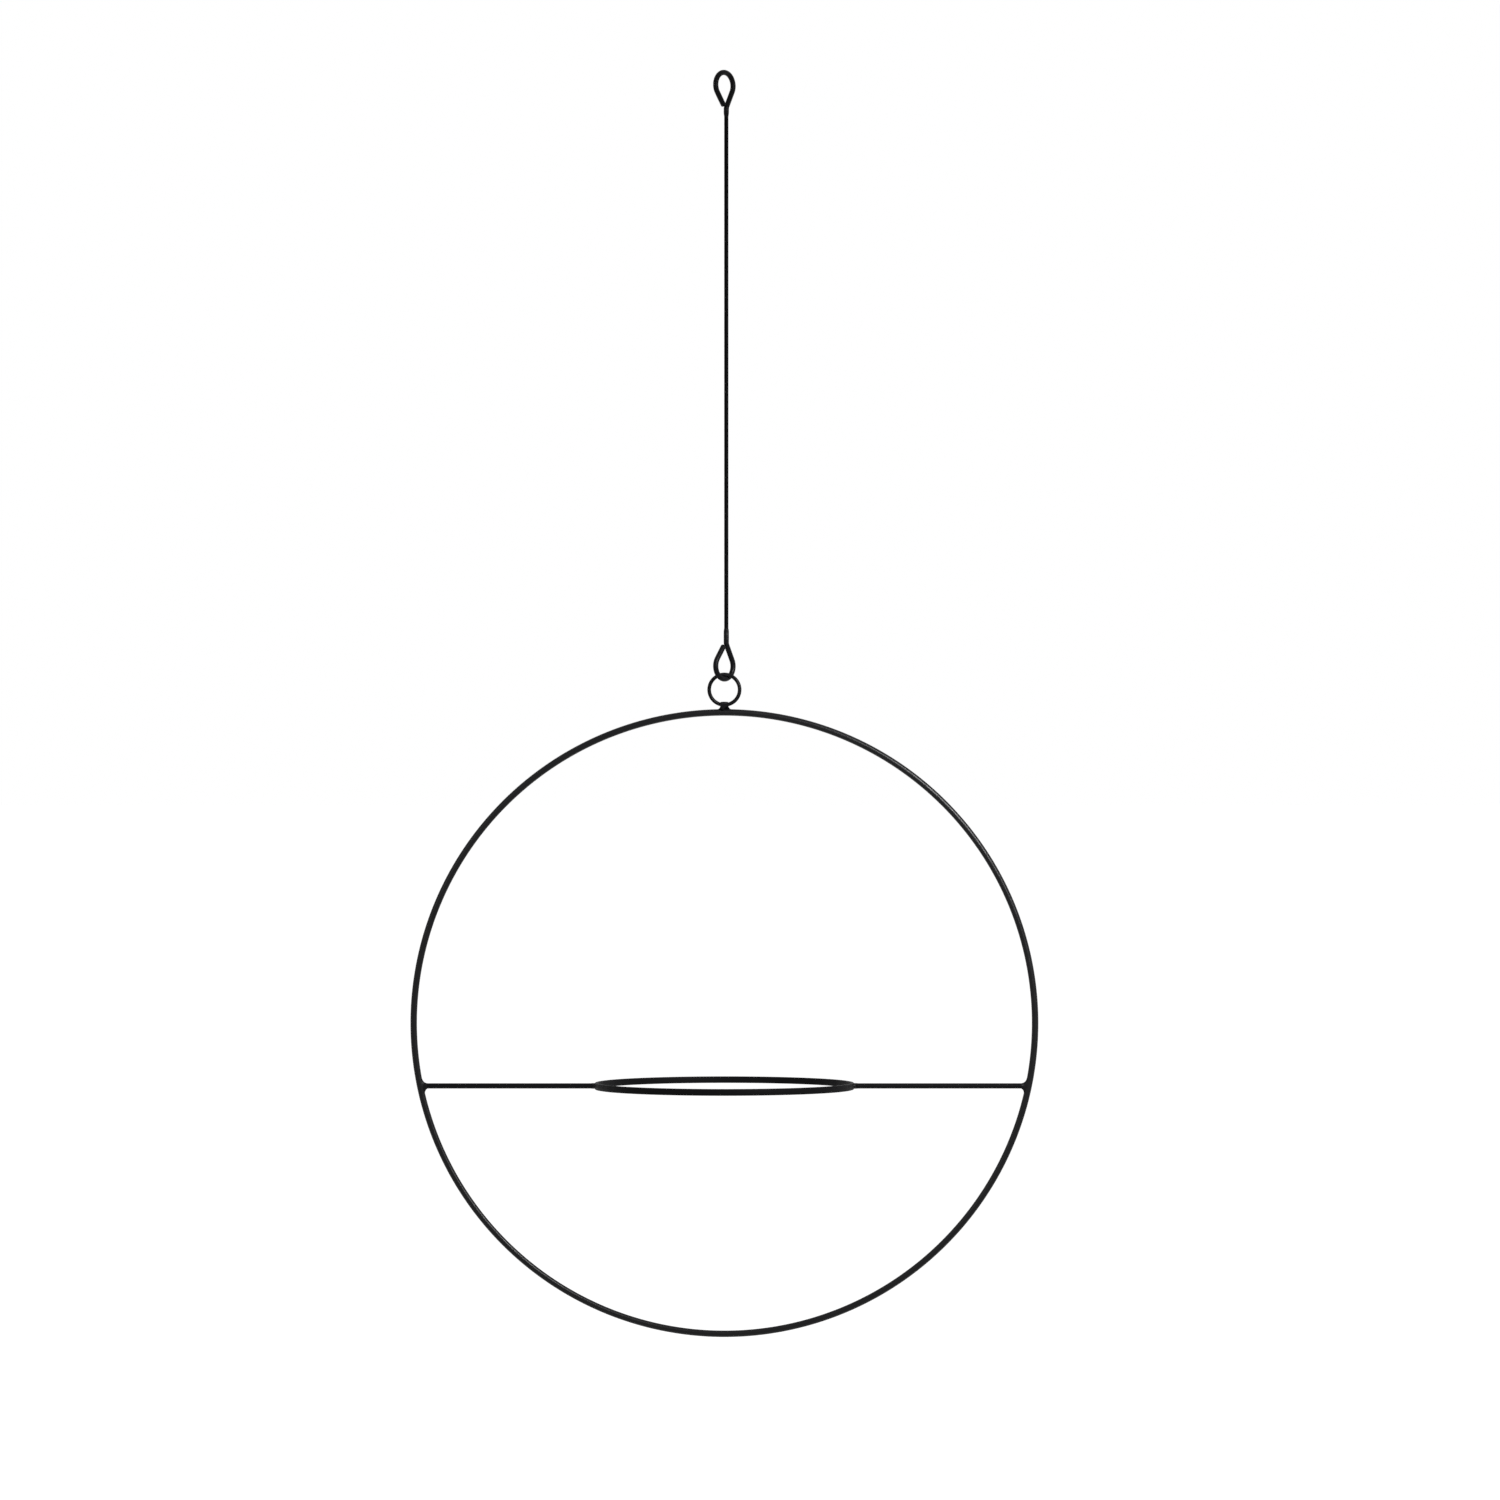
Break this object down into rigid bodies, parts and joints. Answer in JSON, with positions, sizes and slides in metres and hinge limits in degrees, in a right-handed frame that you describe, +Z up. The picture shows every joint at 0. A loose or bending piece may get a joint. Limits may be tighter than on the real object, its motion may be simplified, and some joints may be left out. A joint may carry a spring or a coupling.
{
  "type": "hanging planter",
  "caption": "Black steel wire hanging planter: a rod with end eyes carries a large round hoop by a small loop, and bars across the hoop hold a flat ring that takes a flower pot.",
  "frame": {"origin": "where a hook bears, at the top of the upper eye's opening", "axes": "+Z up along the rod, +X across the hoop to the right seen from the front, front towards -Y"},
  "size_m": [0.4, 0.165, 0.8071],
  "materials": {
    "coated_wire": "satin black powder coat on drawn steel wire",
    "coated_weld": "satin black powder coat over weld metal",
    "coated_strip": "satin black powder coat on rolled steel strip"
  },
  "bodies": {
    "hanger": {"upper_eye": "coated_wire", "upper_neck_weld": "coated_weld", "hanger_shaft": "coated_wire", "lower_neck_weld": "coated_weld", "lower_eye": "coated_wire"},
    "hoop_frame": {"suspension_loop": "coated_wire", "loop_weld": "coated_weld", "hoop": "coated_wire", "crossbar_left": "coated_wire", "crossbar_right": "coated_wire", "hoop_weld_left": "coated_weld", "hoop_weld_right": "coated_weld", "pot_ring": "coated_strip", "pot_ring_weld_left": "coated_weld", "pot_ring_weld_right": "coated_weld"}
  },
  "joints": [
    {"name": "hoop_swing", "type": "hinge", "parent": "hanger", "child": "hoop_frame", "pos_m": [0, 0, -0.3817], "axis": [1, 0, 0], "range_deg": [-155, 155]}
  ]
}
